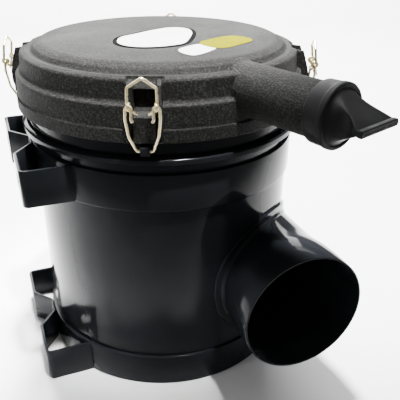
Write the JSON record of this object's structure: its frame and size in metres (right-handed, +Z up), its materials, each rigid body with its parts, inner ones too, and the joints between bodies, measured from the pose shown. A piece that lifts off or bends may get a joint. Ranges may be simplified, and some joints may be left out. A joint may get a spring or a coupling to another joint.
{
  "type": "air filter housing",
  "caption": "Cylindrical engine air cleaner with a side inlet duct, a moulded cover with a dust valve, wire latches, foot brackets and filter elements inside.",
  "frame": {"origin": "on the can's axis, in the plane of its bottom rim and of the outlet spigot's end", "axes": "+Z up along the can's axis towards the cover, -Y out of the inlet duct, -X out of the mounting feet"},
  "size_m": [0.2999, 0.3963, 0.327],
  "materials": {
    "black_paint": "high-gloss stove enamel",
    "cover_plastic": "fine moulded grain",
    "rubber": "matte",
    "element_rubber": "soft cast polyurethane",
    "yellow_zinc": "yellow-passivated zinc on steel wire",
    "filter_media": "pleated filter paper",
    "safety_fleece": "felted fleece",
    "screen_steel": "zinc-plated sheet",
    "pale_label": "blank film",
    "yellow_label": "blank film"
  },
  "bodies": {
    "can": {"can_shell": "black_paint", "end_plate": "black_paint", "outlet_tube": "black_paint", "inlet_collar": "black_paint", "inlet_duct": "black_paint", "upper_band": "black_paint", "lower_band": "black_paint", "upper_bracket": "black_paint", "lower_bracket": "black_paint", "latch_lugs": "black_paint", "flow_sleeve": "black_paint"},
    "cover": {"cover_shell": "cover_plastic", "cover_gasket": "rubber", "dust_valve": "rubber", "pale_label": "pale_label", "yellow_label": "yellow_label"},
    "primary_element": {"primary_media": "filter_media", "primary_outer_screen": "screen_steel", "primary_inner_screen": "screen_steel", "primary_seal_cap": "element_rubber", "primary_end_cap": "element_rubber"},
    "safety_element": {"safety_media": "safety_fleece", "safety_core": "screen_steel", "safety_seal_cap": "element_rubber", "safety_end_cap": "element_rubber"},
    "bail_front": {"bail_front": "yellow_zinc"},
    "lever_front": {"lever_front": "yellow_zinc"},
    "bail_right": {"bail_right": "yellow_zinc"},
    "lever_right": {"lever_right": "yellow_zinc"},
    "bail_rear": {"bail_rear": "yellow_zinc"},
    "lever_rear": {"lever_rear": "yellow_zinc"},
    "bail_left": {"bail_left": "yellow_zinc"},
    "lever_left": {"lever_left": "yellow_zinc"}
  },
  "joints": [
    {"name": "cover_lift", "type": "slide", "parent": "can", "child": "cover", "axis": [0, 0, 1], "range_m": [0, 0.3]},
    {"name": "primary_pull", "type": "slide", "parent": "can", "child": "primary_element", "axis": [0, 0, 1], "range_m": [0, 0.15]},
    {"name": "safety_pull", "type": "slide", "parent": "can", "child": "safety_element", "axis": [0, 0, 1], "range_m": [0, 0.06]},
    {"name": "bail_front_swing", "type": "hinge", "parent": "can", "child": "bail_front", "pos_m": [-0.05627, -0.13255, 0.2605], "axis": [0.9205, -0.3907, 0], "range_deg": [0, 100]},
    {"name": "lever_front_flip", "type": "hinge", "parent": "bail_front", "child": "lever_front", "pos_m": [-0.059, -0.139, 0.299], "axis": [0.9205, -0.3907, 0], "range_deg": [0, 150]},
    {"name": "bail_right_swing", "type": "hinge", "parent": "can", "child": "bail_right", "pos_m": [0.13255, -0.05627, 0.2605], "axis": [0.3907, 0.9205, 0], "range_deg": [0, 100]},
    {"name": "lever_right_flip", "type": "hinge", "parent": "bail_right", "child": "lever_right", "pos_m": [0.139, -0.059, 0.299], "axis": [0.3907, 0.9205, 0], "range_deg": [0, 150]},
    {"name": "bail_rear_swing", "type": "hinge", "parent": "can", "child": "bail_rear", "pos_m": [0.05627, 0.13255, 0.2605], "axis": [-0.9205, 0.3907, 0], "range_deg": [0, 100]},
    {"name": "lever_rear_flip", "type": "hinge", "parent": "bail_rear", "child": "lever_rear", "pos_m": [0.059, 0.139, 0.299], "axis": [-0.9205, 0.3907, 0], "range_deg": [0, 150]},
    {"name": "bail_left_swing", "type": "hinge", "parent": "can", "child": "bail_left", "pos_m": [-0.13255, 0.05627, 0.2605], "axis": [-0.3907, -0.9205, 0], "range_deg": [0, 100]},
    {"name": "lever_left_flip", "type": "hinge", "parent": "bail_left", "child": "lever_left", "pos_m": [-0.139, 0.059, 0.299], "axis": [-0.3907, -0.9205, 0], "range_deg": [0, 150]}
  ],
  "couplings": [
    {"joint": "primary_pull", "follows": "cover_lift", "ratio": 0.5},
    {"joint": "safety_pull", "follows": "cover_lift", "ratio": 0.2}
  ]
}
